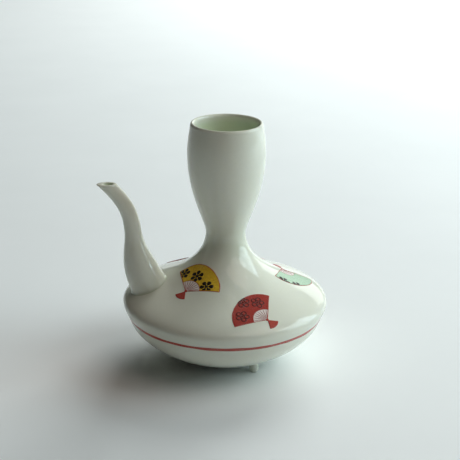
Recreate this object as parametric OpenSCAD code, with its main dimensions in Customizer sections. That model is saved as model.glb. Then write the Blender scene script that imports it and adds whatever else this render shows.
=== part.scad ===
// Spouted sake bottle in glazed porcelain, resting on three small pegs.
// The origin is the centre of the resting plane, +Z is up and the spout points to -X.
// The clay pieces meet in lap joints and pegged sockets, as they are luted before firing.
// The painted fans and the line round the belly are thin layers of enamel on the glaze.

/* [Body] */
// Radius at the widest line of the belly
belly_r = 60; // [58:0.5:62]
// Height of the widest line, where bowl and shoulder are joined
belly_h = 36; // [35:0.5:37]
// Radius of the flat disc under the bowl
base_r = 18; // [16:0.5:20]
// Clear height under the flat disc
base_gap = 2.6; // [2.2:0.1:3]
// Thickness of the clay wall
wall = 3.2; // [2.8:0.1:3.6]

/* [Neck] */
// Radius of the waist
waist_r = 11.6; // [11:0.1:12.5]
// Height of the waist, where the neck is joined to the shoulder
waist_h = 78; // [76:0.5:80]
// Largest radius of the cup-shaped neck
cup_r = 22.4; // [21.5:0.1:23.5]
// Height of the neck's largest radius
cup_h = 125; // [122:0.5:128]
// Radius of the lip, outside
lip_r = 20.8; // [20.5:0.1:21.2]
// Overall height of the bottle
bottle_h = 143; // [141:0.5:146]
// Radius of the straight collar inside the mouth
mouth_r = 18.3; // [17.8:0.1:18.5]
// Length of the straight collar inside the mouth
mouth_l = 9; // [7:0.5:10]
// Height of the half-round lip
lip_round = 2; // [1.4:0.1:2.4]

/* [Spout] */
// Distance of the spout's seat from the bottle's axis
seat_x = 44.8; // [43:0.2:46]
// Lean of the seat away from the vertical, in degrees
seat_lean = 26; // [24:1:28]
// Radius of the spout where it meets the shoulder
spout_base_r = 10.7; // [10:0.1:11.5]
// Radius of the spout near its tip
spout_tip_r = 4; // [3.6:0.1:4.4]
// Height of the level cut across the tip
tip_h = 108.4; // [107:0.2:110]
// Thickness of the spout's wall at its foot
spout_wall = 2.6; // [2.2:0.1:3]
// Radius of the pour hole through the shoulder
pour_r = 5.5; // [4.5:0.1:6.5]

/* [Feet] */
// Number of pegs, one of them under the spout
foot_count = 3; // [3:1:3]
// Distance of each peg from the bottle's axis
foot_x = 29.5; // [28:0.5:31]
// Radius of a peg at the clay of the bowl
foot_r = 2.7; // [2.4:0.1:3]
// Radius of the flat pad that a peg stands on
pad_r = 1.8; // [1.5:0.1:2]

/* [Enamel] */
// Thickness of the enamel layers
enamel = 0.3; // [0.2:0.05:0.4]
// Height of the middle of the line round the belly
band_h = 30; // [29:0.25:31]
// Width of the line round the belly
band_w = 2.2; // [1.6:0.1:2.6]
// Radius of a painted fan from its pivot to its outer edge
fan_r = 19.5; // [18.5:0.1:20.5]
// Radius from the pivot to the inner edge of a fan's leaf
leaf_r = 8; // [7.5:0.1:9]
// Angle that an open fan covers
fan_angle = 116; // [108:1:122]
// Length of a fan's guard below its pivot
guard_l = 6.2; // [5.5:0.1:7]

/* [Hidden] */
FANS = ["yellow_fan", "red_fan", "green_fan", "back_yellow_fan", "back_red_fan"];
FAN_PIECES = ["leaf", "sticks", "guard"];

// Where each fan's middle lies, as [azimuth, radius], and its turn away from facing uphill
FAN_PLACES = [
    [-134.5, 26.7, -8.5],
    [-74.5, 45, 34],
    [1, 39.7, 125],
    [68, 28, 14],
    [111, 44, -31]
];
FAN_COLOURS = ["goldenrod", "firebrick", "darkseagreen", "goldenrod", "firebrick"];

PORCELAIN = "whitesmoke";
GLAZE_SHADE = "gainsboro";
IRON_RED = "brown";

lap = 2.5;           // height of the lap joints
lap_gap = 0.05;      // slip left between lapped faces
lap_share = 0.5;     // share of the wall that the inner tongue takes
spigot_l = 2;        // length of a peg's spigot into the bowl
seat_depth = 1.6;    // depth of the spout's seat below the glaze
straight_l = 2.4;    // straight stretch of the spout inside its seat
seat_gap = 0.1;      // slip round the spout in its seat
profile_steps = 12;  // facets along a long curve of the profile
edge_steps = 4;      // facets along a short curve of the profile
spout_sides = 20;
spout_rings = 18;
round_fn = 96;

// Pulls of the handles that shape the body's outline
base_pull = 11.6;    // level pull where the underside leaves the flat disc
rise_pull = 11.9;    // pull along the underside up to the belly's edge
edge_pull_low = 4;   // pulls along the edge, from below to above the widest line
edge_pull_under = 1.8;
edge_pull_over = 1.1;
edge_pull_high = 1.1;
flare_pull = 9.5;    // pull where the shoulder leaves the belly's edge
flare_drop = 24.6;   // upright pull down from the waist
cup_rise = 6.6;      // upright pull up from the waist
cup_drop = 24;       // upright pull down from the neck's largest radius
rim_rise = 7;        // upright pull above the neck's largest radius
rim_lean = 0.5;      // how far the pull under the lip leans outwards
rim_drop = 6;        // how far that pull lies below the lip's top
bore_rise = 12;      // upright pull of the neck's inside above the waist
bore_drop = 26;      // upright pull of the neck's inside below its collar

// Joints and cuts
tongue_gap = 0.6;    // slip between the tongue and the rebate of the belly's joint
cut = 1;             // how far a cutting solid overshoots
seat_cut = 12;       // height of the solid that cuts the spout's seat
hole_depth = 8;      // how far the pour hole's cutter reaches below the seat
hole_cut = 10;       // length of that cutter
foot_round = 1.6;    // height over which a pad swells to its shank
foot_lap = 1.4;      // length of the spigot hidden in the shank
seam = 0.01;         // overlap that fuses a tongue to its wall

// Spout
spout_pull = 37;     // pull along the seat's direction
spout_drop = 23;     // how far the pull at the tip lies below the cut
spout_out = 24;      // how far the line's end lies beyond the seat
spout_over = 0.4;    // how far the line's end lies above the cut
spout_taper = 1.9;   // even taper over the spout's length
draw_in = 0.46;      // share of the length over which the foot draws in
tip_wall = 2;        // thickness of the spout's wall at the tip
bore_lift = 0.6;     // how far the bore moves to the upper side at the tip

// Fans
pivot_share = 0.45;  // distance from pivot to placed middle, as a share of the fan's radius
pivot_r = 1.2;       // round head of the pivot
guard_hole_r = 1;    // hollow of the guard, filled by the pivot's head
guard_angle = 40;    // half of the angle that a guard covers
press = 8;           // reach of the prism that presses a fan onto the shoulder
band_reach = 8;      // reach of the ring that cuts the line, inwards from the widest line
pivot_fn = 24;
peg_fn = 48;

// Point and direction on a cubic curve with the control points p
function on_curve(p, t) =
    pow(1 - t, 3) * p[0] + 3 * pow(1 - t, 2) * t * p[1]
    + 3 * (1 - t) * t * t * p[2] + pow(t, 3) * p[3];
function along_curve(p, t) =
    let (d = pow(1 - t, 2) * (p[1] - p[0]) + 2 * (1 - t) * t * (p[2] - p[1])
        + t * t * (p[3] - p[2]))
    d / norm(d);

// Points of a curve moved sideways by d, to the right of its direction
function curve(p, n, d = 0) = [
    for (i = [0 : n])
        let (c = on_curve(p, i / n), a = along_curve(p, i / n))
        c + d * [a[1], -a[0]]
];
function reversed(v) = [for (i = [len(v) - 1 : -1 : 0]) v[i]];
function polar(r, a) = [r * cos(a), r * sin(a)];

lip_base = bottle_h - lip_round;

// Outline of the outside, in stretches of [radius, height] from the base to the lip
belly_low = [belly_r - 3.5, belly_h - 9.5];
belly_high = [belly_r - 1.2, belly_h + 2.9];
low_heading = 72;
high_heading = 134;
UNDERSIDE = [
    [base_r, base_gap],
    [base_r + base_pull, base_gap],
    belly_low - polar(rise_pull, low_heading),
    belly_low
];
LOWER_EDGE = [
    belly_low,
    belly_low + polar(edge_pull_low, low_heading),
    [belly_r, belly_h - edge_pull_under],
    [belly_r, belly_h]
];
UPPER_EDGE = [
    [belly_r, belly_h],
    [belly_r, belly_h + edge_pull_over],
    belly_high - polar(edge_pull_high, high_heading),
    belly_high
];
FLARE = [
    belly_high,
    belly_high + polar(flare_pull, high_heading),
    [waist_r, waist_h - flare_drop],
    [waist_r, waist_h]
];
CUP = [
    [waist_r, waist_h],
    [waist_r, waist_h + cup_rise],
    [cup_r, cup_h - cup_drop],
    [cup_r, cup_h]
];
RIM = [
    [cup_r, cup_h],
    [cup_r, cup_h + rim_rise],
    [lip_r + rim_lean, bottle_h - rim_drop],
    [lip_r, lip_base]
];

// Outline of the neck's inside, from the waist up to the straight collar
bore_r = waist_r - wall;
collar_h = lip_base - mouth_l;
NECK_BORE = [
    [bore_r, waist_h + lap],
    [bore_r, waist_h + bore_rise],
    [mouth_r, collar_h - bore_drop],
    [mouth_r, collar_h]
];

tongue_r = belly_r - wall * lap_share;      // where the two halves of the belly's lap meet
collar_lap_r = waist_r - wall * lap_share;  // where the two halves of the waist's lap meet

// Height of the bowl's underside at radius r, found by halving the curve's parameter
function bowl_height(r, lo = 0, hi = 1, n = 30) =
    let (m = (lo + hi) / 2, c = on_curve(UNDERSIDE, m))
    n == 0 ? c[1] : c[0] < r ? bowl_height(r, m, hi, n - 1) : bowl_height(r, lo, m, n - 1);
foot_skin = bowl_height(foot_x);            // height of the bowl's underside over a peg
socket_top = foot_skin + spigot_l;

// Point of the shoulder at radius r, and the curve's direction there
function flare_point(r, lo = 0, hi = 1, n = 30) =
    let (m = (lo + hi) / 2, c = on_curve(FLARE, m))
    n == 0 ? [c, along_curve(FLARE, m)]
    : c[0] > r ? flare_point(r, m, hi, n - 1) : flare_point(r, lo, m, n - 1);

// The spout's centre line, as [reach, height], from its seat to the cut at the tip
seat = flare_point(seat_x)[0];
seat_way = [sin(seat_lean), cos(seat_lean)];
seat_mid = seat - seat_depth * seat_way;
SPOUT_LINE = [
    seat_mid + straight_l * seat_way,
    seat_mid + spout_pull * seat_way,
    [seat_x, tip_h - spout_drop],
    [seat_x + spout_out, tip_h + spout_over]
];

// Whole form of the bowl or of the shoulder, filled to the axis and grown by g
module bowl_form(g = 0) {
    rotate_extrude($fn = round_fn)
        polygon(concat(
            [[0, base_gap - g]],
            curve(UNDERSIDE, profile_steps, g),
            curve(LOWER_EDGE, edge_steps, g),
            [[0, belly_h]]
        ));
}

module shoulder_form(g = 0) {
    rotate_extrude($fn = round_fn)
        polygon(concat(
            [[0, belly_h]],
            curve(UPPER_EDGE, edge_steps, g),
            curve(FLARE, profile_steps, g),
            [[0, waist_h]]
        ));
}

// Ring of height h that stands on z, between two radii
module ring(r_in, r_out, z, h) {
    translate([0, 0, z])
        rotate_extrude($fn = round_fn)
            translate([r_in, 0])
                square([r_out - r_in, h]);
}

module lower_bowl() {
    color(PORCELAIN)
    difference() {
        union() {
            rotate_extrude($fn = round_fn)
                polygon(concat(
                    [[0, base_gap]],
                    curve(UNDERSIDE, profile_steps),
                    curve(LOWER_EDGE, edge_steps),
                    reversed(curve(LOWER_EDGE, edge_steps, -wall)),
                    reversed(curve(UNDERSIDE, profile_steps, -wall)),
                    [[0, base_gap + wall]]
                ));
            ring(belly_r - wall, tongue_r - tongue_gap, belly_h - seam, lap);
        }
        for (i = [0 : foot_count - 1])
            foot_place(i)
                cylinder(h = socket_top, r = pad_r, $fn = round_fn);
    }
}

// Puts its children at peg i
module foot_place(i) {
    rotate(180 + i * 360 / foot_count)
        translate([foot_x, 0, 0])
            children();
}

// Peg with a rounded shank, cut to the bowl's underside, and a spigot into its socket
module foot(i) {
    color(PORCELAIN) {
        difference() {
            foot_place(i)
                rotate_extrude($fn = peg_fn)
                    polygon(concat(
                        [[0, 0], [pad_r, 0]],
                        [for (a = [0 : 22.5 : 90])
                            [pad_r + (foot_r - pad_r) * sin(a), foot_round * (1 - cos(a))]],
                        [[foot_r, socket_top], [0, socket_top]]
                    ));
            bowl_form();
        }
        foot_place(i)
            translate([0, 0, foot_skin - foot_lap])
                cylinder(h = spigot_l + foot_lap, r = pad_r, $fn = round_fn);
    }
}

// Puts the origin at the middle of the spout's seat, +Z along the spout's foot
module seat_frame() {
    translate([-seat[0], 0, seat[1]])
        rotate([0, -seat_lean, 0])
            translate([0, 0, -seat_depth])
                children();
}

module shoulder() {
    color(PORCELAIN)
    difference() {
        union() {
            rotate_extrude($fn = round_fn)
                polygon(concat(
                    curve(UPPER_EDGE, edge_steps),
                    curve(FLARE, profile_steps),
                    reversed(curve(FLARE, profile_steps, -wall)),
                    reversed(curve(UPPER_EDGE, edge_steps, -wall))
                ));
            ring(bore_r, collar_lap_r, waist_h - seam, lap);
        }
        ring(0, tongue_r - tongue_gap + lap_gap, belly_h - cut, lap + cut + lap_gap);
        seat_frame() {
            cylinder(h = seat_cut, r = spout_base_r + seat_gap, $fn = round_fn);
            translate([0, 0, -hole_depth])
                cylinder(h = hole_cut, r = pour_r, $fn = round_fn);
        }
    }
}

module neck() {
    color(PORCELAIN)
    difference() {
        rotate_extrude($fn = round_fn)
            polygon(concat(
                curve(CUP, profile_steps),
                curve(RIM, edge_steps),
                [for (a = [22.5 : 22.5 : 157.5])
                    let (m = (lip_r + mouth_r) / 2, w = (lip_r - mouth_r) / 2)
                    [m + w * cos(a), lip_base + lip_round * sin(a)]],
                [[mouth_r, lip_base]],
                reversed(curve(NECK_BORE, profile_steps)),
                [[bore_r, waist_h]]
            ));
        ring(0, collar_lap_r + lap_gap, waist_h - cut, lap + cut + lap_gap);
    }
}

function ease(t) = t <= 0 ? 0 : t >= 1 ? 1 : t * t * (3 - 2 * t);
// Outer radius of the spout: a wide foot that draws in, then an even taper
function spout_r(t) =
    let (foot = spout_base_r - spout_tip_r - spout_taper)
    spout_tip_r + spout_taper * (1 - t) + foot * (1 - ease(t / draw_in));
function spout_bore(t) = spout_r(t) - spout_wall + (spout_wall - tip_wall) * t;

// One ring of the spout, square to its line; the last ring slides along it to the level cut
function spout_ring(t, r, lift = 0) =
    let (
        c = t < 0 ? seat_mid : on_curve(SPOUT_LINE, t),
        a = t < 0 ? seat_way : along_curve(SPOUT_LINE, t)
    )
    [for (i = [0 : spout_sides - 1])
        let (
            w = 360 * i / spout_sides,
            q = c + (r * cos(w) + lift) * [-a[1], a[0]],
            e = t == 1 ? q + a * (tip_h - q[1]) / a[1] : q
        )
        [-e[0], r * sin(w), e[1]]
    ];

module spout() {
    steps = [for (i = [-1 : spout_rings - 1]) i < 0 ? -1 : i / (spout_rings - 1)];
    rings = len(steps);
    outer = [for (t = steps) each spout_ring(t, spout_r(max(t, 0)))];
    inner = [for (t = steps) each spout_ring(t, spout_bore(max(t, 0)), bore_lift * ease(t))];
    inside = rings * spout_sides;
    far = (rings - 1) * spout_sides;
    faces = [
        for (k = [0 : spout_sides - 1])
            let (n = (k + 1) % spout_sides)
            each concat(
                [for (j = [0 : rings - 2])
                    let (a = j * spout_sides, b = a + spout_sides)
                    each [
                        [a + k, a + n, b + n], [a + k, b + n, b + k],
                        [inside + a + k, inside + b + n, inside + a + n],
                        [inside + a + k, inside + b + k, inside + b + n]
                    ]],
                [
                    [k, inside + n, n], [k, inside + k, inside + n],
                    [far + k, far + n, inside + far + n],
                    [far + k, inside + far + n, inside + far + k]
                ]
            )
    ];
    color(GLAZE_SHADE)
        polyhedron(points = concat(outer, inner), faces = faces, convexity = 6);
}

module belly_line() {
    color(IRON_RED)
    intersection() {
        difference() {
            bowl_form(enamel);
            bowl_form();
        }
        ring(belly_r - band_reach, belly_r + cut, band_h - band_w / 2, band_w);
    }
}

// Part of a ring between two radii, opening along +X by the angle a to each side
module sector(r_in, r_out, a) {
    intersection() {
        difference() {
            circle(r = r_out, $fn = round_fn);
            circle(r = r_in, $fn = round_fn);
        }
        polygon([[0, 0], polar(2 * r_out, -a), [2 * r_out, 0], polar(2 * r_out, a)]);
    }
}

module fan_outline(piece) {
    if (piece == "leaf")
        sector(leaf_r, fan_r, fan_angle / 2);
    if (piece == "sticks")
        difference() {
            sector(0, leaf_r, fan_angle / 2);
            circle(r = pivot_r, $fn = pivot_fn);
        }
    if (piece == "guard") {
        circle(r = pivot_r, $fn = pivot_fn);
        difference() {
            rotate(180)
                sector(0, guard_l, guard_angle);
            circle(r = guard_hole_r, $fn = pivot_fn);
        }
    }
}

// One enamel piece of fan i: its outline pressed squarely through a skin on the shoulder
module fan_piece(i, piece, tint) {
    place = FAN_PLACES[i];
    spot = flare_point(place[1]);
    slope = atan2(spot[1][1], -spot[1][0]);
    color(tint)
    intersection() {
        difference() {
            shoulder_form(enamel);
            shoulder_form();
        }
        rotate(place[0])
            translate([spot[0][0], 0, spot[0][1]])
                rotate([0, slope, 0])
                    rotate(180 + place[2])
                        translate([-pivot_share * fan_r, 0, -press])
                            linear_extrude(2 * press)
                                fan_outline(piece);
    }
}

lower_bowl();
shoulder();
neck();
spout();
foot(0);  // foot_spout_side
foot(1);  // foot_right
foot(2);  // foot_left
belly_line();
for (i = [0 : len(FANS) - 1]) {
    fan_piece(i, "leaf", FAN_COLOURS[i]);
    fan_piece(i, "sticks", "mistyrose");
    fan_piece(i, "guard", IRON_RED);
}
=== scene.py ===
import math

import bmesh
import bpy
import numpy as np
from mathutils import Euler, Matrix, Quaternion, Vector


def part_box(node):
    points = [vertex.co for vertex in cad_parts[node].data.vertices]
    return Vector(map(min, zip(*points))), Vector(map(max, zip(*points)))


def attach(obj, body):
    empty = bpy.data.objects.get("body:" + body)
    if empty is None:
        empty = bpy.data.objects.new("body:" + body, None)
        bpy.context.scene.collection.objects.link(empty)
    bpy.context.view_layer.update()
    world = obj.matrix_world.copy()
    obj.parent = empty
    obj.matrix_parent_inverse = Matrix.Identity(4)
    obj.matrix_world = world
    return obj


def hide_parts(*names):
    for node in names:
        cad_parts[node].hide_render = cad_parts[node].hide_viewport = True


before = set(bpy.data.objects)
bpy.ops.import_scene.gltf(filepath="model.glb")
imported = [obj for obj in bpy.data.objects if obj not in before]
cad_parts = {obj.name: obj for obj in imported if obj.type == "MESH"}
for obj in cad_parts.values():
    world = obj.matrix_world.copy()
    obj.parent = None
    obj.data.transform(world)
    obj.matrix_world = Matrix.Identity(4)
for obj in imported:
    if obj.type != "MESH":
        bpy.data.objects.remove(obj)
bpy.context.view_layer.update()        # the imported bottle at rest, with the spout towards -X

# Shapes are worked out in millimetres and made metres when they become meshes.
mm = 0.001
tau = 2 * math.pi


# The bottle's main sizes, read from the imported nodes
def reach(node, corner, axis):
    return round(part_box(node)[corner][axis] / mm, 1)


bellyR = reach("shoulder", 1, 0)      # widest line of the belly
bellyH = reach("shoulder", 0, 2)
waistH = reach("neck", 0, 2)          # seam between shoulder and neck
bottleH = reach("neck", 1, 2)
cupR = reach("neck", 1, 0)
baseGap = reach("lower_bowl", 0, 2)   # air under the bowl's flat disc
tipH = reach("spout", 1, 2)           # level cut across the spout's tip

bodyShape = {
    "wall": 3.2,
    "baseR": 18.0,        # flat disc under the bowl
    "waistR": 11.6,
    "lipR": 20.8,
    "mouthR": 18.3,
    "mouthDepth": 9.0,    # straight collar inside the mouth
    "cupH": 125.0,
    "lap": 2.5,           # height of the lap joints
    "lapGap": 0.05,       # slip left between lapped faces
    "tongueGap": 0.6,     # how far the bowl's tongue stands in from half the wall
    "lipRound": 2.0,      # height of the half-round lip
    "sides": 360,         # facets round the belly
    "neckSides": 256,
}


# Curves

def polar(radius, angle):
    # a step of that length in that direction, in degrees
    return radius * np.array([math.cos(math.radians(angle)), math.sin(math.radians(angle))])


def curvePoint(handles, t):
    # cubic curve: its four handles weighted by (1-t)^3, 3t(1-t)^2, 3t^2(1-t) and t^3
    t = np.asarray(t, float)[..., None]
    a, b, c, d = np.array(handles, float)
    return (1 - t)**3 * a + 3 * t * (1 - t)**2 * b + 3 * t * t * (1 - t) * c + t**3 * d


def curveHeading(handles, t):
    # unit direction of the same curve
    t = np.asarray(t, float)[..., None]
    a, b, c, d = np.array(handles, float)
    step = (1 - t)**2 * (b - a) + 2 * t * (1 - t) * (c - b) + t * t * (d - c)
    return step / np.linalg.norm(step, axis=-1, keepdims=True)


def stretch(handles, count, inwards=0.0):
    # points of a curve, moved to the left of its heading, which is inside the clay
    t = np.linspace(0, 1, count + 1)
    h = curveHeading(handles, t)
    return curvePoint(handles, t) + inwards * np.stack([-h[:, 1], h[:, 0]], -1)


def ease(t):
    # 0 to 1 with level ends: t^2 (3 - 2t)
    t = np.clip(t, 0, 1)
    return t * t * (3 - 2 * t)


# How far each handle is pulled from its end of the outline, which sets how full a curve is
pulls = {
    "base": 11.6,         # level, where the underside leaves the flat disc
    "rise": 11.9,         # along the underside, up to the belly's edge
    "edgeLow": 4.0,       # round the edge, from below to above the widest line
    "edgeUnder": 1.8,
    "edgeOver": 1.1,
    "edgeHigh": 1.1,
    "flare": 9.5,         # where the shoulder leaves the belly's edge
    "flareDrop": 24.6,    # upright, down from the waist
    "cupRise": 6.6,       # upright, up from the waist
    "cupDrop": 24.0,      # upright, down from the neck's largest radius
    "rimRise": 7.0,       # upright, above the neck's largest radius
    "rimLean": 0.5,       # outwards under the lip
    "rimDrop": 6.0,       # below the lip's top
    "boreRise": 12.0,     # upright, the neck's inside above the waist
    "boreDrop": 26.0,     # upright, the neck's inside below its collar
}
lowHeading = 72           # direction of the outline where the edge starts, in degrees
highHeading = 134         # and where it ends
waistR = bodyShape["waistR"]
cupH = bodyShape["cupH"]
tongueR = bellyR - bodyShape["wall"] / 2 - bodyShape["tongueGap"]    # outside of the bowl's tongue
bellyLow = np.array([bellyR - 3.5, bellyH - 9.5])
bellyHigh = np.array([bellyR - 1.2, bellyH + 2.9])
underside = [
    [bodyShape["baseR"], baseGap],
    [bodyShape["baseR"] + pulls["base"], baseGap],
    bellyLow - polar(pulls["rise"], lowHeading),
    bellyLow,
]
lowerEdge = [
    bellyLow,
    bellyLow + polar(pulls["edgeLow"], lowHeading),
    [bellyR, bellyH - pulls["edgeUnder"]],
    [bellyR, bellyH],
]
upperEdge = [
    [bellyR, bellyH],
    [bellyR, bellyH + pulls["edgeOver"]],
    bellyHigh - polar(pulls["edgeHigh"], highHeading),
    bellyHigh,
]
flare = [
    bellyHigh,
    bellyHigh + polar(pulls["flare"], highHeading),
    [waistR, waistH - pulls["flareDrop"]],
    [waistR, waistH],
]
cup = [
    [waistR, waistH],
    [waistR, waistH + pulls["cupRise"]],
    [cupR, cupH - pulls["cupDrop"]],
    [cupR, cupH],
]
lipBase = bottleH - bodyShape["lipRound"]
rim = [
    [cupR, cupH],
    [cupR, cupH + pulls["rimRise"]],
    [bodyShape["lipR"] + pulls["rimLean"], bottleH - pulls["rimDrop"]],
    [bodyShape["lipR"], lipBase],
]


# Meshes

def gridFaces(rows, columns, closeRows=False, closeColumns=True):
    # one quad between each pair of neighbouring rows and columns, turned to face outwards
    i = np.arange(rows if closeRows else rows - 1)[:, None]
    j = np.arange(columns if closeColumns else columns - 1)[None, :]
    up = (i + 1) % rows
    on = (j + 1) % columns
    quads = [i * columns + j, i * columns + on, up * columns + on, up * columns + j]
    return np.stack(np.broadcast_arrays(*quads), -1).reshape(-1, 4)


def joinGrids(grids, closeRows=False, closeColumns=True):
    # stacks several grids of points into one set of points and faces
    faces = []
    start = 0
    for grid in grids:
        faces.append(gridFaces(grid.shape[0], grid.shape[1], closeRows, closeColumns) + start)
        start += grid.shape[0] * grid.shape[1]
    return np.concatenate([g.reshape(-1, 3) for g in grids]), np.concatenate(faces)


def makePiece(name, points, faces, material, marks=None, sharp=35):
    # marks are named numbers on the points, which the material reads
    mesh = bpy.data.meshes.new(name)
    mesh.vertices.add(len(points))
    mesh.vertices.foreach_set("co", (points * mm).astype(np.float32).ravel())
    mesh.loops.add(faces.size)
    mesh.loops.foreach_set("vertex_index", faces.astype(np.int32).ravel())
    mesh.polygons.add(len(faces))
    mesh.polygons.foreach_set("loop_start", np.arange(0, faces.size, 4, dtype=np.int32))
    for mark, values in (marks or {}).items():
        layer = mesh.attributes.new(mark, "FLOAT", "POINT")
        layer.data.foreach_set("value", np.broadcast_to(values, len(points)).astype(np.float32))
    mesh.update(calc_edges=True)
    work = bmesh.new()
    work.from_mesh(mesh)
    bmesh.ops.remove_doubles(work, verts=work.verts, dist=1e-7)   # closes the poles
    work.to_mesh(mesh)
    work.free()
    mesh.shade_smooth()
    mesh.set_sharp_from_angle(angle=math.radians(sharp))
    mesh.materials.append(material)
    piece = bpy.data.objects.new(name, mesh)
    bpy.context.scene.collection.objects.link(piece)
    return piece


def fit(piece, slot, *nodes):
    # every piece is fixed to the one body, and stands for the nodes it is a finer form of
    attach(piece, "root")
    if nodes:
        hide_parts(*nodes)
    return piece


def lathe(profile, sides):
    # each [radius, height] of the profile swept round: (r cos a, r sin a, z)
    a = tau * np.arange(sides) / sides
    r = profile[:, :1]
    z = profile[:, 1:] + 0 * a
    return np.stack([r * np.cos(a), r * np.sin(a), z], -1)


def carve(piece, cutters):
    # takes the cutters' solids out of a piece and drops the cutters
    for cutter in cutters:
        cut = piece.modifiers.new("carve", "BOOLEAN")
        cut.operation = "DIFFERENCE"
        cut.solver = "EXACT"
        cut.object = cutter
        bpy.context.view_layer.objects.active = piece
        bpy.ops.object.modifier_apply(modifier=cut.name)
        bpy.data.objects.remove(cutter)


# Materials

def startMaterial(name):
    material = bpy.data.materials.new(name)
    material.use_nodes = True
    nodes = material.node_tree.nodes
    return material, nodes, material.node_tree.links, nodes["Principled BSDF"]


def addNoise(nodes, links, size, detail=3.0, roughness=0.55):
    # noise over Object coordinates with features of about that size in millimetres
    place = nodes.new("ShaderNodeTexCoord")
    noise = nodes.new("ShaderNodeTexNoise")
    noise.inputs["Scale"].default_value = 1 / (size * mm)
    noise.inputs["Detail"].default_value = detail
    noise.inputs["Roughness"].default_value = roughness
    links.new(place.outputs["Object"], noise.inputs["Vector"])
    return noise.outputs["Fac"]


def addRange(nodes, links, value, low, high, toLow=0.0, toHigh=1.0):
    # value taken from the range low..high to the range toLow..toHigh
    node = nodes.new("ShaderNodeMapRange")
    node.inputs["From Min"].default_value = low
    node.inputs["From Max"].default_value = high
    node.inputs["To Min"].default_value = toLow
    node.inputs["To Max"].default_value = toHigh
    links.new(value, node.inputs["Value"])
    return node.outputs["Result"]


def addMix(nodes, links, share, first, second):
    # first colour where share is 0, second where it is 1
    node = nodes.new("ShaderNodeMix")
    node.data_type = "RGBA"
    for socket, value in ((node.inputs[6], first), (node.inputs[7], second)):
        if isinstance(value, tuple):
            socket.default_value = (*value, 1)
        else:
            links.new(value, socket)
    links.new(share, node.inputs[0])
    return node.outputs[2]


def addMark(nodes, name):
    node = nodes.new("ShaderNodeAttribute")
    node.attribute_name = name
    return node.outputs["Fac"]


def addBump(nodes, links, height, depth, after=None):
    # depth is the height of the relief in millimetres
    node = nodes.new("ShaderNodeBump")
    node.inputs["Distance"].default_value = depth * mm
    links.new(height, node.inputs["Height"])
    if after:
        links.new(after, node.inputs["Normal"])
    return node.outputs["Normal"]


glazeLook = {
    "tint": (0.78, 0.79, 0.68),
    "thickTint": (0.52, 0.57, 0.42),   # where the glaze pools
    # painted shade inside the vessel: darker, and greener like light coming through the wall
    "insideShadeTint": (0.66, 0.73, 0.56),
    "cloudTint": (0.75, 0.765, 0.66),  # wide soft patches
    "mottleTint": (0.80, 0.81, 0.71),  # fine pale mottle
    "speckTint": (0.30, 0.24, 0.17),   # iron specks under the glaze
    "clay": (0.70, 0.64, 0.55),        # bare clay of the pads
    "clayRoughness": 0.7,
    "gloss": 0.03,
    "padHeight": 0.22,                 # bare clay reaches this high, in millimetres
}


def makeGlaze():
    material, nodes, links, shader = startMaterial("celadon_white_glaze")
    cloud = addRange(nodes, links, addNoise(nodes, links, 26), 0.3, 0.7)
    mottle = addRange(nodes, links, addNoise(nodes, links, 1.6, 4), 0.35, 0.75, 0, 0.5)
    body = addMix(nodes, links, cloud, glazeLook["tint"], glazeLook["cloudTint"])
    body = addMix(nodes, links, mottle, body, glazeLook["mottleTint"])
    # painted shade: the inside mark turns the glaze darker and greener on the inner walls
    body = addMix(nodes, links, addMark(nodes, "inside"), body, glazeLook["insideShadeTint"])
    body = addMix(nodes, links, addMark(nodes, "pool"), body, glazeLook["thickTint"])
    speck = addRange(nodes, links, addNoise(nodes, links, 0.8, 2, 0.7), 0.80, 0.84, 0, 0.45)
    body = addMix(nodes, links, speck, body, glazeLook["speckTint"])
    # the pads are rubbed clean of glaze
    place = nodes.new("ShaderNodeTexCoord")
    split = nodes.new("ShaderNodeSeparateXYZ")
    links.new(place.outputs["Object"], split.inputs[0])
    top = glazeLook["padHeight"] * mm
    bare = addRange(nodes, links, split.outputs["Z"], top * 1.3, top * 0.7)
    body = addMix(nodes, links, bare, body, glazeLook["clay"])
    links.new(body, shader.inputs["Base Color"])
    polish = addRange(nodes, links, mottle, 0, 0.5, glazeLook["gloss"], glazeLook["gloss"] + 0.03)
    rough = nodes.new("ShaderNodeMix")
    rough.inputs[3].default_value = glazeLook["clayRoughness"]
    links.new(bare, rough.inputs[0])
    links.new(polish, rough.inputs[2])
    links.new(rough.outputs[0], shader.inputs["Roughness"])
    wave = addBump(nodes, links, addNoise(nodes, links, 14, 1), 0.10)
    peel = addBump(nodes, links, addNoise(nodes, links, 0.9, 2), 0.0015, wave)
    links.new(peel, shader.inputs["Normal"])
    shader.inputs["IOR"].default_value = 1.52
    shader.inputs["Subsurface Weight"].default_value = 0.10
    shader.inputs["Subsurface Radius"].default_value = (0.0030, 0.0028, 0.0018)
    return material


def makeEnamel(name, tint, deep, gloss=0.16, streak=0.9):
    # overglaze enamel: brushed on by hand, thin in the middle and pooled at its border
    material, nodes, links, shader = startMaterial(name)
    brush = addRange(nodes, links, addNoise(nodes, links, streak, 4, 0.65), 0.30, 0.70)
    body = addMix(nodes, links, brush, tint, deep)
    border = addRange(nodes, links, addMark(nodes, "pool"), 0, 1, 0, 0.7)
    body = addMix(nodes, links, border, body, deep)
    grain = addRange(nodes, links, addNoise(nodes, links, 0.25, 2), 0.3, 0.7, 0, 0.25)
    body = addMix(nodes, links, grain, body, deep)
    links.new(body, shader.inputs["Base Color"])
    polish = addRange(nodes, links, brush, 0, 1, gloss, gloss + 0.10)
    links.new(polish, shader.inputs["Roughness"])
    skin = addBump(nodes, links, brush, 0.03)
    skin = addBump(nodes, links, grain, 0.008, skin)
    links.new(skin, shader.inputs["Normal"])
    shader.inputs["IOR"].default_value = 1.55
    return material


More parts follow.
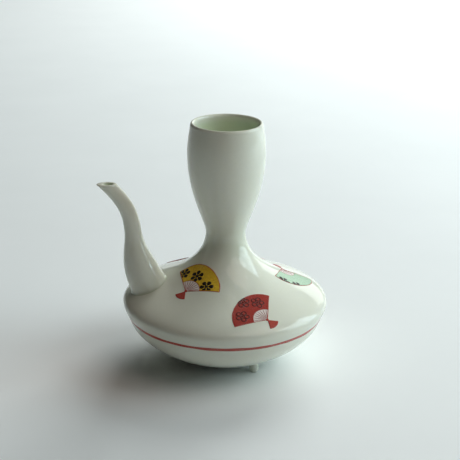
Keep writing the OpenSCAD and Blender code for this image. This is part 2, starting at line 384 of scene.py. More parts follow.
glaze = makeGlaze()
enamels = {
    "yellow": makeEnamel("yellow_enamel", (0.95, 0.66, 0.050), (0.58, 0.33, 0.03)),
    "red": makeEnamel("red_enamel", (0.46, 0.066, 0.045), (0.30, 0.028, 0.024), 0.2),
    "green": makeEnamel("green_enamel", (0.42, 0.60, 0.42), (0.26, 0.44, 0.28), 0.14),
    "black": makeEnamel("iron_black_enamel", (0.012, 0.011, 0.009), (0.030, 0.020, 0.010), 0.12, 0.4),
    "darkRed": makeEnamel("dark_red_enamel", (0.12, 0.014, 0.011), (0.07, 0.009, 0.008), 0.2, 0.4),
    "ironRed": makeEnamel("iron_red_enamel", (0.54, 0.085, 0.055), (0.36, 0.045, 0.034), 0.2, 0.7),
    "pale": makeEnamel("pale_wash", (0.84, 0.78, 0.74), (0.76, 0.66, 0.62), 0.12, 0.7),
    "blush": makeEnamel("red_line_wash", (0.42, 0.12, 0.10), (0.22, 0.05, 0.045), 0.2, 0.3),
}
print("materials ready")


def makeBowl():
    # a shell of revolution from the middle of its flat disc out to the widest line, with a
    # tongue that stands up inside the shoulder: (r cos a, r sin a, z) for each profile point
    wall = bodyShape["wall"]
    tongueH = bellyH + bodyShape["lap"]
    outside = np.vstack([
        [[0, baseGap]],
        np.linspace([2, baseGap], [bodyShape["baseR"] - 0.4, baseGap], 12),
        stretch(underside, 72),
        stretch(lowerEdge, 28)[1:],
    ])
    inside = np.vstack([
        [[tongueR, bellyH], [tongueR, tongueH], [bellyR - wall, tongueH]],
        stretch(lowerEdge, 14, wall)[::-1],
        stretch(underside, 40, wall)[::-1][1:],
        [[9, baseGap + wall], [0, baseGap + wall]],
    ])
    profile = np.vstack([outside, inside])
    points = lathe(profile, bodyShape["sides"])
    # the inner wall gets the painted shade of the inside
    shadedInside = np.repeat(np.arange(len(profile)) >= len(outside), bodyShape["sides"])
    marks = {"inside": shadedInside.astype(float), "pool": 0.0}
    faces = gridFaces(*points.shape[:2])
    return makePiece("glazedBowl", points.reshape(-1, 3), faces, glaze, marks)


shoulderLine = np.vstack([stretch(upperEdge, 200), stretch(flare, 1200)])[::-1]


def shoulderHeight(radius):
    # height of the shoulder's glaze at a distance from the axis
    return np.interp(radius, shoulderLine[:, 0], shoulderLine[:, 1])


def waistPool(profile, outer):
    # glaze gathers on the outside where the neck is thinnest: a bell curve over the height
    return np.where(outer, 0.35 * np.exp(-((profile[:, 1] - waistH + 4) / 9)**2), 0)


def makeShoulder():
    # the upper body: a shell of revolution from the widest line to the waist, rebated over the
    # bowl's tongue and with a tongue of its own into the neck
    wall = bodyShape["wall"]
    lap = bodyShape["lap"]
    rebateR = tongueR + bodyShape["lapGap"]
    rebateH = bellyH + lap + bodyShape["lapGap"]
    outside = np.vstack([[[rebateR, bellyH]], stretch(upperEdge, 20), stretch(flare, 96)[1:]])
    inside = stretch(flare, 56, wall)[::-1]
    inside = inside[inside[:, 1] > rebateH]
    profile = np.vstack([
        outside,
        [[waistR - wall / 2, waistH], [waistR - wall / 2, waistH + lap]],
        [[waistR - wall, waistH + lap]],
        inside,
        [[inside[-1, 0], rebateH], [rebateR, rebateH]],
    ])
    points = lathe(profile, bodyShape["sides"])
    outer = np.arange(len(profile)) < len(outside)
    marks = {
        # the inner wall gets the painted shade of the inside
        "inside": np.repeat(~outer, bodyShape["sides"]).astype(float),
        "pool": np.repeat(waistPool(profile, outer), bodyShape["sides"]),
    }
    faces = gridFaces(*points.shape[:2], closeRows=True)
    return makePiece("glazedShoulder", points.reshape(-1, 3), faces, glaze, marks)


def makeNeck():
    # cup-shaped neck: the lip is half an ellipse between its outer and inner walls
    boreR = waistR - bodyShape["wall"]
    rebateR = waistR - bodyShape["wall"] / 2 + bodyShape["lapGap"]
    rebateH = waistH + bodyShape["lap"] + bodyShape["lapGap"]
    mouthR = bodyShape["mouthR"]
    collarH = lipBase - bodyShape["mouthDepth"]
    middle = (bodyShape["lipR"] + mouthR) / 2
    half = (bodyShape["lipR"] - mouthR) / 2
    a = np.radians(np.linspace(10, 170, 17))
    lip = np.stack([middle + half * np.cos(a), lipBase + bodyShape["lipRound"] * np.sin(a)], -1)
    bore = [
        [boreR, rebateH],
        [boreR, waistH + pulls["boreRise"]],
        [mouthR, collarH - pulls["boreDrop"]],
        [mouthR, collarH],
    ]
    outside = np.vstack([[[rebateR, waistH]], stretch(cup, 96), stretch(rim, 24)[1:], lip])
    inside = np.vstack([
        np.linspace([mouthR, lipBase], [mouthR, collarH], 12)[:-1],
        stretch(bore, 72)[::-1],
        [[rebateR, rebateH]],
    ])
    profile = np.vstack([outside, inside])
    points = lathe(profile, bodyShape["neckSides"])
    outer = np.arange(len(profile)) < len(outside)
    # painted shade inside the mouth: none at the lip, growing to full shade 4 mm further down
    depth = np.where(outer, 0, ease((lipBase + 0.5 - profile[:, 1]) / 4))
    marks = {
        "inside": np.repeat(depth, bodyShape["neckSides"]),
        "pool": np.repeat(waistPool(profile, outer), bodyShape["neckSides"]),
    }
    faces = gridFaces(*points.shape[:2], closeRows=True)
    return makePiece("glazedNeck", points.reshape(-1, 3), faces, glaze, marks)


def pressOnShoulder(base, aim, lift=0.0):
    # slides each base point along its aim until it meets the shoulder, by halving the
    # stretch that holds the crossing, then lifts it off along the surface's own normal
    base, aim = np.broadcast_arrays(base, aim)
    search = 9.0
    low = np.full(base.shape[:-1], -search)
    high = np.full(base.shape[:-1], search)
    for _ in range(40):
        middle = (low + high) / 2
        spot = base + aim * middle[..., None]
        under = spot[..., 2] < shoulderHeight(np.hypot(spot[..., 0], spot[..., 1]))
        low = np.where(under, middle, low)
        high = np.where(under, high, middle)
    spot = base + aim * low[..., None]
    r = np.hypot(spot[..., 0], spot[..., 1])
    near = 0.1
    slope = (shoulderHeight(r + near) - shoulderHeight(r - near)) / (2 * near)
    normal = np.stack([-slope * spot[..., 0] / r, -slope * spot[..., 1] / r, np.ones_like(r)], -1)
    normal /= np.linalg.norm(normal, axis=-1, keepdims=True)
    return spot + normal * np.asarray(lift)[..., None]


spoutShape = {
    "seatX": 44.8,        # from the bottle's axis to the middle of its seat
    "lean": 26.0,         # of the seat, away from the vertical, in degrees
    "footR": 10.7,
    "tipR": 4.0,
    "taper": 1.9,
    "drawIn": 0.46,       # share of its length over which the foot draws in
    "wall": 2.6,
    "tipWall": 2.0,
    "fillet": 1.3,        # roll of glaze round its foot
    "spigotR": 9.5,
    "seatDepth": 1.6,
    "seatGap": 0.1,       # slip round the spout in its seat
    "straight": 2.4,      # straight stretch above the bottom of its seat
    "sink": 0.06,         # how far the roll's edge lies under the shoulder's glaze
    "pourR": 5.5,         # hole through the shoulder under it
    "pull": 34.6,         # handles of its line: along the seat's direction,
    "drop": 23.0,         # below the cut,
    "out": 24.0,          # and its end, beyond the seat
    "over": 0.4,          # and above the cut
    "boreLift": 0.6,      # how far the bore moves to the upper side at the tip
    "lipRound": 0.45,
    "sides": 144,
}
leanSin = math.sin(math.radians(spoutShape["lean"]))
leanCos = math.cos(math.radians(spoutShape["lean"]))
seatSpot = np.array([-spoutShape["seatX"], 0, shoulderHeight(spoutShape["seatX"])])
seatUp = np.array([-leanSin, 0, leanCos])       # square to the seat
seatIn = np.array([leanCos, 0, leanSin])        # along the seat, uphill
seatSide = np.array([0, 1, 0])
seatLean = np.array([leanSin, leanCos])         # the same as seatUp, as distance and height
startLift = spoutShape["straight"] - spoutShape["seatDepth"]
spoutStart = np.array([spoutShape["seatX"], seatSpot[2]]) + startLift * seatLean
spoutLine = [
    spoutStart,
    spoutStart + spoutShape["pull"] * seatLean,
    [spoutShape["seatX"], tipH - spoutShape["drop"]],
    [spoutShape["seatX"] + spoutShape["out"], tipH + spoutShape["over"]],
]


def spoutRadius(t):
    # a wide foot that eases in, on top of an even taper
    s = spoutShape
    foot = (s["footR"] - s["tipR"] - s["taper"]) * (1 - ease(t / s["drawIn"]))
    return s["tipR"] + s["taper"] * (1 - t) + foot


def spoutSkin(t, w, radius, lift=0.0):
    # circle of that radius square to the line at t: centre + radius (cos w, sin w),
    # moved by lift towards the upper side
    c = curvePoint(spoutLine, t)
    h = curveHeading(spoutLine, t)
    across = radius * np.cos(w) + lift
    reachOut = c[..., 0] - h[..., 1] * across
    height = c[..., 1] + h[..., 0] * across
    return np.stack([-reachOut, radius * np.sin(w) + 0 * t, height], -1)


def levelCut(w, radiusOf, height, lift=0.0):
    # the t at which each side of the spout reaches that height, read off a fine table
    t = np.linspace(0.7, 1.15, 400)[:, None] + 0 * w
    z = spoutSkin(t, w, radiusOf(t), lift)[..., 2]
    return t[np.argmin(np.abs(z - height), 0), 0]


def makeSpout():
    # rings square to the spout's line, from its seat up over the lip and down the bore
    s = spoutShape
    w = tau * np.arange(s["sides"]) / s["sides"]
    ring = np.cos(w)[:, None] * seatIn + np.sin(w)[:, None] * seatSide
    footHeight = (pressOnShoulder(seatSpot + s["footR"] * ring, seatUp) - seatSpot) @ seatUp
    # the wall leaves its foot at this t, because the line sets off at 3 times its pull
    start = (footHeight + s["fillet"] - startLift) / (3 * s["pull"])
    low = seatSpot - (s["seatDepth"] - s["seatGap"]) * seatUp

    def boreRadius(t):
        return spoutRadius(t) - s["wall"] + (s["wall"] - s["tipWall"]) * np.clip(t, 0, 1)

    rows = [low + s["spigotR"] * ring]
    rows.append(pressOnShoulder(seatSpot + s["spigotR"] * ring, seatUp, -s["sink"]))
    # the roll: a quarter circle from the shoulder's glaze up to the wall
    for a in np.radians(np.linspace(0, 90, 9)[:-1]):
        out = spoutRadius(start) + s["fillet"] * (1 - math.sin(a))
        up = -s["sink"] + (s["fillet"] + s["sink"]) * (1 - math.cos(a))
        rows.append(pressOnShoulder(seatSpot + out[:, None] * ring, seatUp) + up * seatUp)
    cutH = tipH - s["lipRound"]
    end = levelCut(w, spoutRadius, cutH)
    wallRings = 110
    for k in range(wallRings + 1):
        t = start + (end - start) * k / wallRings
        rows.append(spoutSkin(t, w, spoutRadius(t)))
    # half-round lip between the outer and the inner edge of the cut
    endIn = levelCut(w, boreRadius, cutH, s["boreLift"])
    outerEdge = rows[-1]
    innerEdge = spoutSkin(endIn, w, boreRadius(endIn), s["boreLift"])
    for a in np.radians(np.linspace(20, 160, 8)):
        middle = (outerEdge + innerEdge) / 2 + (outerEdge - innerEdge) / 2 * math.cos(a)
        rows.append(middle + np.array([0, 0, s["lipRound"] * math.sin(a)]))
    lips = len(rows)
    boreRings = 40
    for k in range(boreRings + 1):
        t = endIn * (1 - k / boreRings)
        rows.append(spoutSkin(t, w, boreRadius(t), s["boreLift"] * ease(t)))
    rows.append(low + boreRadius(np.zeros(1))[0] * ring)
    points = np.array(rows)
    index = np.arange(len(rows))
    foot = np.exp(-np.maximum(index - 4, 0) / 4.0) * (index < lips)
    marks = {
        # painted shade down the spout's bore
        "inside": np.repeat(index >= lips, s["sides"]).astype(float),
        "pool": np.repeat(0.8 * foot, s["sides"]),
    }
    faces = gridFaces(*points.shape[:2], closeRows=True)
    return makePiece("glazedSpout", points.reshape(-1, 3), faces, glaze, marks)


def rod(radius, low, high, place, up, along, side, sides=96):
    # closed cylinder about a line, as a grid with a pole at each end
    profile = np.array([[0, low], [radius, low], [radius, high], [0, high]])
    a = tau * np.arange(sides) / sides
    r = profile[:, :1, None]
    ring = np.cos(a)[:, None] * along + np.sin(a)[:, None] * side
    points = place + r * ring + profile[:, 1:, None] * up
    return makePiece("cutter", points.reshape(-1, 3), gridFaces(4, sides), glaze)


footShape = {
    "reach": 29.5,       # from the bottle's axis
    "radius": 2.7,
    "padR": 1.8,
    "rise": 1.6,         # height over which the pad swells to the shank
    "spigot": 2.0,
    "flare": 1.1,        # roll of glaze where it meets the bowl
    "sink": 0.05,        # how far that roll reaches into the bowl
    "slip": 0.06,        # round the spigot in its socket
    "spigotGap": 0.1,    # between the spigot's end and the bottom of its socket
    "sides": 72,
}
# each peg's node and the direction in which it stands, in degrees
pegs = {
    "pegSpoutSide": ("foot_spout_side", 180),
    "pegRight": ("foot_right", 300),
    "pegLeft": ("foot_left", 60),
}


def undersideHeight(radius):
    line = stretch(underside, 800)
    return np.interp(radius, line[:, 0], line[:, 1])


def makePeg(name, azimuth):
    # a small turned peg whose top follows the bowl's underside: its radius swells from the
    # pad by a quarter ellipse and rolls out again by a quarter circle at the bowl
    f = footShape
    w = tau * np.arange(f["sides"]) / f["sides"]
    a = math.radians(azimuth)
    place = f["reach"] * np.array([math.cos(a), math.sin(a)])

    def ring(radius):
        return place + radius * np.stack([np.cos(w), np.sin(w)], -1)

    rows = [np.column_stack([ring(0), 0 * w]), np.column_stack([ring(f["padR"] * 0.6), 0 * w])]
    for b in np.radians(np.linspace(0, 90, 9)):
        radius = f["padR"] + (f["radius"] - f["padR"]) * math.sin(b)
        rows.append(np.column_stack([ring(radius), 0 * w + f["rise"] * (1 - math.cos(b))]))
    for b in np.radians(np.linspace(0, 90, 8)):
        spot = ring(f["radius"] + f["flare"] * (1 - math.cos(b)))
        clay = undersideHeight(np.hypot(spot[:, 0], spot[:, 1]))
        rows.append(np.column_stack([spot, clay + f["sink"] - f["flare"] * (1 - math.sin(b))]))
    spot = ring(f["padR"] - f["slip"])
    clay = undersideHeight(np.hypot(spot[:, 0], spot[:, 1]))
    rows.append(np.column_stack([spot, clay + f["sink"]]))
    topH = undersideHeight(f["reach"]) + f["spigot"] - f["spigotGap"]
    rows.append(np.column_stack([spot, 0 * w + topH]))
    rows.append(np.column_stack([ring(0), 0 * w + topH]))
    points = np.array(rows)
    pool = np.repeat(0.5 * ease((np.arange(len(rows)) - 9) / 8), f["sides"])
    faces = gridFaces(*points.shape[:2])
    return makePiece(name, points.reshape(-1, 3), faces, glaze, {"inside": 0.0, "pool": pool})


bowl = fit(makeBowl(), "porcelain", "lower_bowl")
sockets = []
socketTop = undersideHeight(footShape["reach"]) + footShape["spigot"]
for _, azimuth in pegs.values():
    a = math.radians(azimuth)
    spot = footShape["reach"] * np.array([math.cos(a), math.sin(a), 0])
    sockets.append(rod(footShape["padR"], 0, socketTop, spot, np.array([0, 0, 1]),
                       np.array([1, 0, 0]), np.array([0, 1, 0]), 48))
carve(bowl, sockets)

shoulder = fit(makeShoulder(), "porcelain", "shoulder")
cutterReach = 9.0        # how far the cutting cylinders overshoot the clay
carve(shoulder, [
    rod(spoutShape["spigotR"] + spoutShape["seatGap"], -spoutShape["seatDepth"], cutterReach,
        seatSpot, seatUp, seatIn, seatSide),
    rod(spoutShape["pourR"], -cutterReach, 2, seatSpot, seatUp, seatIn, seatSide),
])
fit(makeNeck(), "porcelain", "neck")
fit(makeSpout(), "porcelain", "spout")
for name, (node, azimuth) in pegs.items():
    fit(makePeg(name, azimuth), "porcelain", node)
print("clay pieces ready")


# The red line: a brushed band whose two edges wander a little
lineShape = {
    "height": 30.0,
    "width": 2.2,
    "thickness": 0.10,
    "sink": 0.03,         # how far its underside lies in the glaze
    "wander": 0.07,
    "sides": 720,
}


def makeBellyLine():
    a = tau * np.arange(lineShape["sides"]) / lineShape["sides"]
    line = np.vstack([stretch(underside, 400), stretch(lowerEdge, 400)])
    wobble = lineShape["wander"] * (np.sin(3 * a + 1) + 0.6 * np.sin(11 * a) + 0.4 * np.sin(29 * a + 2))
    widths = lineShape["width"] * (1 + 0.10 * np.sin(7 * a + 0.5) + 0.06 * np.sin(23 * a))
    rows = []
    # the section is a low half ellipse on the glaze, closed just under it
    for b, side in [(b, 1) for b in np.linspace(-1, 1, 9)] + [(0.9, 0), (-0.9, 0)]:
        z = lineShape["height"] + wobble + b * widths / 2
        r = np.interp(z, line[:, 1], line[:, 0])
        r = r + lineShape["thickness"] * math.sqrt(1 - b * b) * side - lineShape["sink"]
        rows.append(np.stack([r * np.cos(a), r * np.sin(a), z], -1))
    points = np.array(rows)
    faces = gridFaces(*points.shape[:2], closeRows=True)
    return makePiece("redBellyLine", points.reshape(-1, 3), faces, enamels["ironRed"],
                     {"pool": 0.3}, 60)


fit(makeBellyLine(), "iron_red", "belly_line")


# Painted fans. Each is drawn flat, its pivot at (0, 0) and opening along +x, and is then
# pressed onto the shoulder.
fanShape = {
    "radius": 19.5,
    "leafR": 8.0,
    "halfAngle": 58.0,
    "pivotShift": 8.775,     # from the pivot to the spot that is placed on the shoulder
    "pivotR": 0.95,
    "guard": 6.2,
    "guardHalfAngle": 40.0,
    "thickness": 0.14,
    "washThickness": 0.09,   # the pale wash of the sticks
    "lineWidth": 0.42,
    "hub": 0.3,              # the layers and lines start this far from the pivot
    "border": 0.45,          # width over which a layer's border rounds off
    "sink": 0.03,            # how far its underside lies in the glaze
    "rays": 8,
}
blossomShape = {
    "petal": 2.6,          # from the middle of a blossom to the middle of a petal
    "petalLong": 1.45,
    "petalWide": 1.22,
    "boss": 0.95,
    "stem": 0.8,           # width of the strokes between boss and petals
    "ring": 2.5,           # from the middle to the middle of a drawn ring
    "ringR": 1.25,
    "ringWidth": 0.75,
    "ringBoss": 0.7,
}
# the placed spot's azimuth and distance from the axis, and the fan's turn from facing uphill
fanPlaces = {
    "yellowFan": (-134.5, 26.7, -8.5),
    "redFan": (-74.5, 45.0, 34.0),
    "greenFan": (1.0, 39.7, 125.0),
    "backYellowFan": (68.0, 28.0, 14.0),
    "backRedFan": (111.0, 44.0, -31.0),
}
# blossoms, each as distance and angle from the pivot and its own turn, in degrees
blossoms = {
    "yellow": [(15.2, 50, 10), (11.6, 8, 20), (12.1, -44, 8)],
    "red": [(13.9, 34, 0), (17.6, -3, 30), (13.4, -30, 10)],
    "green": [(19.6, -41, 0), (20.2, -14, 20)],
}


def onFan(place, x, y, lift):
    # a flat point of the fan, turned, laid on the slope at its spot, then pressed down
    azimuth, distance, turn = place
    steps = np.linspace(0, 1, 2000)
    nearest = np.argmin(np.abs(curvePoint(flare, steps)[:, 0] - distance))
    heading = curveHeading(flare, steps)[nearest]
    slope = math.atan2(heading[1], -heading[0])
    a = math.radians(180 + turn)
    x = x - fanShape["pivotShift"]
    u = x * math.cos(a) - y * math.sin(a)
    v = x * math.sin(a) + y * math.cos(a)
    around = math.radians(azimuth)
    out = np.array([math.cos(around), math.sin(around), 0])
    side = np.array([-math.sin(around), math.cos(around), 0])
    up = np.array([0, 0, 1])
    down = math.cos(slope) * out - math.sin(slope) * up
    normal = math.sin(slope) * out + math.cos(slope) * up
    spot = distance * out + shoulderHeight(distance) * up
    base = spot + u[..., None] * down + v[..., None] * side
    return pressOnShoulder(base, normal, lift)


def edgeSteps(low, high, count):
    # steps that crowd towards both ends: half a cosine
    return low + (high - low) * (0.5 - 0.5 * np.cos(np.linspace(0, math.pi, count)))


def sectorSheet(name, place, inner, outer, halfAngle, material, facing, thickness):
    # a layer of enamel over a ring sector, thick as 1 - (1 - d / edge)^2 under a root, where
    # d is the distance to its border; the underside lies just below the glaze
    rho = edgeSteps(inner, outer, 40)[:, None]
    phi = edgeSteps(-1, 1, 90)[None, :] * math.radians(halfAngle)
    toSide = rho * (math.radians(halfAngle) - np.abs(phi))
    d = np.minimum(np.minimum(rho - inner, outer - rho), toSide)
    edge = fanShape["border"]
    roundness = np.sqrt(np.clip(1 - (1 - np.clip(d / edge, 0, 1))**2, 0, 1))
    bead = 0.25 * np.exp(-((d - edge) / 0.25)**2)
    lift = thickness * (0.15 + 0.85 * roundness + bead * roundness)
    turned = phi + math.radians(facing)
    top = onFan(place, rho * np.cos(turned), rho * np.sin(turned), lift)
    low = onFan(place, rho * np.cos(turned), rho * np.sin(turned), 0 * lift - fanShape["sink"])
    # top and underside as one closed strip: out along the top and back in along the underside
    points = np.concatenate([top, low[::-1]], 0)
    faces = gridFaces(*points.shape[:2], closeRows=True, closeColumns=False)
    # the two straight sides lie between the strip's own borders
    rows, columns = points.shape[:2]
    i = np.arange(rows // 2 - 1)
    left = columns * np.stack([i, i + 1, rows - 2 - i, rows - 1 - i], -1)
    right = left[:, ::-1] + columns - 1
    faces = np.concatenate([faces, left, right])
    pool = np.exp(-(d / 0.7)**2)
    pool = np.concatenate([pool, pool[::-1]], 0).ravel()
    return makePiece(name, points.reshape(-1, 3), faces, material, {"pool": pool}, 50)


def ribbon(place, x, y, width, base, height, closed):
    # a brush stroke along a flat path: its section is a half ellipse of that width and height
    # standing on base, closed underneath
    if closed:
        dx = np.roll(x, -1) - np.roll(x, 1)
        dy = np.roll(y, -1) - np.roll(y, 1)
    else:
        dx = np.gradient(x)
        dy = np.gradient(y)
    size = np.hypot(dx, dy)
    b = np.array([-1, -0.8, -0.4, 0, 0.4, 0.8, 1, 0])
    relief = np.array([0, 0.6, 0.92, 1, 0.92, 0.6, 0, -0.4])
    px = x[:, None] - (dy / size * width / 2)[:, None] * b
    py = y[:, None] + (dx / size * width / 2)[:, None] * b
    return onFan(place, px, py, base + height * relief + 0 * px)


def outlinePath(inner, outer, halfAngle):
    # round the leaf: out along one side, over the arc, back along the other side
    a = np.radians(np.linspace(-halfAngle, halfAngle, 90))
    sides = np.linspace(inner, outer, 30)[:-1]
    x = [sides * math.cos(a[0]), outer * np.cos(a), sides[::-1] * math.cos(a[-1])]
    y = [sides * math.sin(a[0]), outer * np.sin(a), sides[::-1] * math.sin(a[-1])]
    return np.concatenate(x), np.concatenate(y)


def keepOnLeaf(x, y):
    # brings points outside the leaf to its border
    margin = 0.25
    limit = math.radians(fanShape["halfAngle"]) - margin / fanShape["leafR"]
    rho = np.clip(np.hypot(x, y), fanShape["leafR"] + margin, fanShape["radius"] - margin)
    phi = np.clip(np.arctan2(y, x), -limit, limit)
    return rho * np.cos(phi), rho * np.sin(phi)


def petalDomes(place, middle, turn, count, reachOut, long, wide, base, dome, keep=keepOnLeaf):
    # each petal is an ellipse set outwards from the middle, wider at its far end, and raised
    # as the root of 1 - s^2 from its own middle to its border
    grids = []
    s = np.concatenate([np.sin(np.linspace(0, math.pi / 2, 9)), np.linspace(0.97, 0, 4)])[:, None]
    top = np.arange(13)[:, None] < 9
    w = tau * np.arange(28) / 28
    for k in range(count):
        a = math.radians(turn + 360 * k / count)
        along = s * long * np.cos(w)
        over = s * wide * np.sin(w) * (1 + 0.25 * np.cos(w))
        x = middle[0] + (reachOut + along) * math.cos(a) - over * math.sin(a)
        y = middle[1] + (reachOut + along) * math.sin(a) + over * math.cos(a)
        x, y = keep(x, y)
        lift = base + np.where(top, dome * np.sqrt(np.clip(1 - s * s, 0, 1)), -0.05) + 0 * x
        grids.append(onFan(place, x, y, lift)[::-1])
    return grids


def roundDome(place, middle, radius, base, dome, keep=keepOnLeaf):
    # a single petal that isn't set outwards
    return petalDomes(place, middle, 0, 1, 0, radius, radius, base, dome, keep)


def makeBlossoms(name, place, kind):
    # black blossoms are six raised petals round a boss; red ones are five drawn rings
    b = blossomShape
    base = fanShape["thickness"] - 0.02
    solid = []
    drawn = []
    for distance, angle, turn in blossoms[kind]:
        middle = polar(distance, angle)
        if kind == "red":
            for k in range(5):
                spot = middle + polar(b["ring"], turn + 72 * k)
                a = tau * np.arange(40) / 40
                x = b["ringR"] * np.cos(a)
                y = b["ringR"] * np.sin(a)
                cutX, cutY = keepOnLeaf(spot[0] + x, spot[1] + y)
                # a tenth of the full ring keeps a cut one from folding to a line
                cutX = spot[0] + 0.9 * (cutX - spot[0]) + 0.1 * x
                drawn.append(ribbon(place, cutX, cutY, b["ringWidth"] + 0 * x, base, 0.10, True))
            solid += roundDome(place, middle, b["ringBoss"], base, 0.10)
        else:
            solid += petalDomes(place, middle, turn, 6, b["petal"], b["petalLong"], b["petalWide"],
                                base, 0.15)
            solid += roundDome(place, middle, b["boss"], base, 0.13)
            for k in range(6):
                a = math.radians(turn + 60 * k)
                r = np.linspace(0.5, 2.3, 10)
                x, y = keepOnLeaf(middle[0] + r * math.cos(a), middle[1] + r * math.sin(a))
                step = np.linspace(0, 1e-4, 10)    # keeps a cut stroke from folding to a point
                solid.append(strokeGrid(place, x + step, y + step, b["stem"], base, 0.09))
    points, faces = joinGrids(solid)
    if drawn:
        more, moreFaces = joinGrids(drawn, closeRows=True)
        faces = np.concatenate([faces, moreFaces + len(points)])
        points = np.concatenate([points, more])
    material = enamels["darkRed" if kind == "red" else "black"]
    return makePiece(name, points, faces, material, {"pool": 0.2}, 60)


def strokeGrid(place, x, y, width, base, height):
    # an open stroke that thins to a point at both ends
    n = len(x)
    taper = np.sin(np.linspace(0.0, math.pi, n))**0.5
    taper[0] = 0
    taper[-1] = 0
    grid = ribbon(place, x, y, width * taper, base, height, False)
    grid[0] = grid[0].mean(0)
    grid[-1] = grid[-1].mean(0)
    return grid


def makeRays(name, place):
    # the fan's sticks: fine red lines from the pivot to the leaf
    grids = []
    spread = fanShape["halfAngle"] - 9
    for angle in np.linspace(-spread, spread, fanShape["rays"]):
        r = np.linspace(0.9, fanShape["leafR"] - 0.15, 14)
        a = math.radians(angle)
        grids.append(strokeGrid(place, r * math.cos(a), r * math.sin(a), fanShape["lineWidth"],
                                0.08, 0.06))
    points, faces = joinGrids(grids)
    return makePiece(name, points, faces, enamels["blush"], {"pool": 0.0}, 60)


def makeOutline(name, place):
    # a thin iron red line round the leaf and down both outer sticks, with the round pivot
    x, y = outlinePath(fanShape["hub"], fanShape["radius"], fanShape["halfAngle"])
    i = np.arange(len(x))
    width = fanShape["lineWidth"] + 0.10 * np.sin(i * 0.21) + 0.06 * np.sin(i * 0.53)
    grid = ribbon(place, x, y, width, 0.03, 0.14, False)
    grid[0] = grid[0].mean(0)
    grid[-1] = grid[-1].mean(0)
    spread = math.radians(fanShape["halfAngle"] - 1)
    a = np.linspace(-spread, spread, 60)
    inner = strokeGrid(place, fanShape["leafR"] * np.cos(a), fanShape["leafR"] * np.sin(a),
                       0.3, 0.06, 0.10)
    pivot = roundDome(place, [0, 0], fanShape["pivotR"], 0.09, 0.14, lambda x, y: (x, y))
    points, faces = joinGrids([grid, inner] + pivot)
    return makePiece(name, points, faces, enamels["ironRed"], {"pool": 0.4}, 60)


for name, place in fanPlaces.items():
    kind = name.replace("back", "").replace("Fan", "").lower()
    node = ("back_" if name.startswith("back") else "") + kind + "_fan_"
    leaf = sectorSheet(name + "Leaf", place, fanShape["leafR"], fanShape["radius"],
                       fanShape["halfAngle"], enamels[kind], 0, fanShape["thickness"])
    fit(leaf, kind + "_enamel", node + "leaf")
    sticks = sectorSheet(name + "Sticks", place, fanShape["hub"], fanShape["leafR"] - 0.05,
                         fanShape["halfAngle"], enamels["pale"], 0, fanShape["washThickness"])
    fit(sticks, "pale_enamel", node + "sticks")
    guard = sectorSheet(name + "Guard", place, fanShape["hub"] + 0.05, fanShape["guard"],
                        fanShape["guardHalfAngle"], enamels["ironRed"], 180, fanShape["thickness"])
    fit(guard, "iron_red", node + "guard")
    fit(makeBlossoms(name + "Blossoms", place, kind), kind + "_enamel")
    fit(makeRays(name + "Rays", place), "iron_red")
    fit(makeOutline(name + "Outline", place), "iron_red")
print("painting ready")


# Floor, light and camera, with the studio's lengths in metres
studio = {
    "floor": 12.0,
    "windowAt": (1.30, 0.02, 0.66),
    "windowSize": (1.15, 1.15),
    "windowPower": 15.0,
    "slats": 12,
    "slatGap": 0.62,                   # share of the window that the slats let through
    "windowColour": (0.75, 0.94, 1.0),
    "farColour": (0.95, 1.0, 0.99),
    "backAt": (0.9, 1.6, 1.0),         # daylight from behind, on the table
    "backAim": (0.3, 0.6, 0),
    "backSize": 1.3,
    "backPower": 38.0,
    "glareAt": (0.95, 1.9, 0.57),      # a far window, as the glaze mirrors it
    "glareSize": (1.3, 0.68),
    "glarePower": 4.2,
    "ceilingAt": (0.5, -0.35, 1.0),    # warm light thrown back into the room
    "ceilingSize": 0.9,
    "ceilingPower": 3.2,
    "ceilingColour": (1.0, 0.86, 0.75),
    "glow": 0.06,                      # of the room all round, between these two tints
    "dim": (0.10, 0.085, 0.07),
    "bright": (1.0, 1.04, 1.02),
}


def makeFloor():
    half = studio["floor"] / 2
    corners = np.array([[-half, -half, 0], [half, -half, 0], [half, half, 0], [-half, half, 0]]) / mm
    material, nodes, links, shader = startMaterial("pale_table")
    cloud = addRange(nodes, links, addNoise(nodes, links, 90, 4), 0.3, 0.7)
    tint = addMix(nodes, links, cloud, (0.85, 0.87, 0.87), (0.83, 0.85, 0.85))
    links.new(tint, shader.inputs["Base Color"])
    shader.inputs["Roughness"].default_value = 0.65
    shader.inputs["Specular IOR Level"].default_value = 0.15
    floor = makePiece("floor", corners, np.array([[0, 1, 2, 3]]), material)


def addPanel(name, at, aim, size, power, colour):
    light = bpy.data.lights.new(name, "AREA")
    light.shape = "RECTANGLE"
    light.size = size[0]
    light.size_y = size[1]
    light.energy = power
    light.color = colour
    panel = bpy.data.objects.new(name, light)
    panel.location = at
    panel.rotation_euler = (aim - at).to_track_quat("-Z", "Y").to_euler()
    panel.visible_camera = False
    bpy.context.scene.collection.objects.link(panel)
    return panel


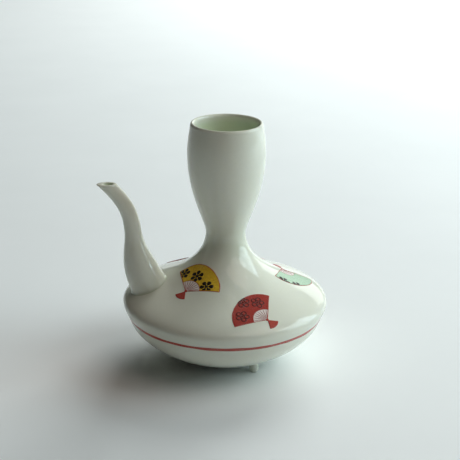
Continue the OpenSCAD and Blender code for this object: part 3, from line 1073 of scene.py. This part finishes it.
def makeLights():
    target = Vector((0, 0, 0.05))
    middle = Vector(studio["windowAt"])
    wide, tall = studio["windowSize"]
    count = studio["slats"]
    # one strip of daylight between each pair of slats of a blind
    facing = (target - middle).to_track_quat("-Z", "Y")
    for i in range(count):
        offset = facing @ Vector((0, tall * ((i + 0.5) / count - 0.5), 0))
        size = (wide, tall / count * studio["slatGap"])
        panel = addPanel("daylight%02d" % i, middle + offset, target + offset, size,
                         studio["windowPower"] / count, studio["windowColour"])
        panel.rotation_euler = facing.to_euler()
    back = addPanel("backGlow", Vector(studio["backAt"]), Vector(studio["backAim"]),
                    (studio["backSize"], studio["backSize"]), studio["backPower"], studio["farColour"])
    back.visible_glossy = False      # never mirrored in the glaze
    glare = addPanel("farWindow", Vector(studio["glareAt"]), target, studio["glareSize"],
                     studio["glarePower"], studio["farColour"])
    glare.visible_diffuse = False    # only mirrored in the glaze
    ceiling = (studio["ceilingSize"], studio["ceilingSize"])
    addPanel("ceiling", Vector(studio["ceilingAt"]), target, ceiling, studio["ceilingPower"],
             studio["ceilingColour"])


def makeRoom():
    # a dim warm room in front and on the left, brighter towards the window and the back
    world = bpy.data.worlds.new("room")
    bpy.context.scene.world = world
    world.use_nodes = True
    nodes = world.node_tree.nodes
    links = world.node_tree.links
    place = nodes.new("ShaderNodeTexCoord")
    split = nodes.new("ShaderNodeSeparateXYZ")
    links.new(place.outputs["Generated"], split.inputs[0])
    sideways = nodes.new("ShaderNodeMath")
    sideways.operation = "MULTIPLY_ADD"
    sideways.inputs[1].default_value = 0.8
    links.new(split.outputs["X"], sideways.inputs[0])
    links.new(split.outputs["Y"], sideways.inputs[2])
    share = addRange(nodes, links, sideways.outputs[0], -0.5, 1.1)
    tint = addMix(nodes, links, share, studio["dim"], studio["bright"])
    links.new(tint, nodes["Background"].inputs["Color"])
    nodes["Background"].inputs["Strength"].default_value = studio["glow"]


camera = {
    "turn": -6.4,        # degrees about the bottle, from straight in front of it
    "distance": 620.0,
    "height": 306.0,
    "sideStep": 2.5,
    "pitch": -20.13,
    "roll": 0.73,
    "lens": 89.14,
}


def makeCamera():
    lens = bpy.data.cameras.new("viewer")
    lens.lens = camera["lens"]
    lens.sensor_width = 36
    lens.clip_start = 0.01
    viewer = bpy.data.objects.new("viewer", lens)
    a = math.radians(camera["turn"])
    x = camera["sideStep"] * math.cos(a) + camera["distance"] * math.sin(a)
    y = camera["sideStep"] * math.sin(a) - camera["distance"] * math.cos(a)
    viewer.location = (x * mm, y * mm, camera["height"] * mm)
    look = Euler((math.radians(90 + camera["pitch"]), 0, a)).to_quaternion()
    viewer.rotation_euler = (look @ Quaternion((0, 0, 1), math.radians(camera["roll"]))).to_euler()
    bpy.context.scene.collection.objects.link(viewer)
    bpy.context.scene.camera = viewer


makeFloor()
makeLights()
makeRoom()
makeCamera()
bpy.context.scene.view_settings.view_transform = "Standard"
print("studio ready")
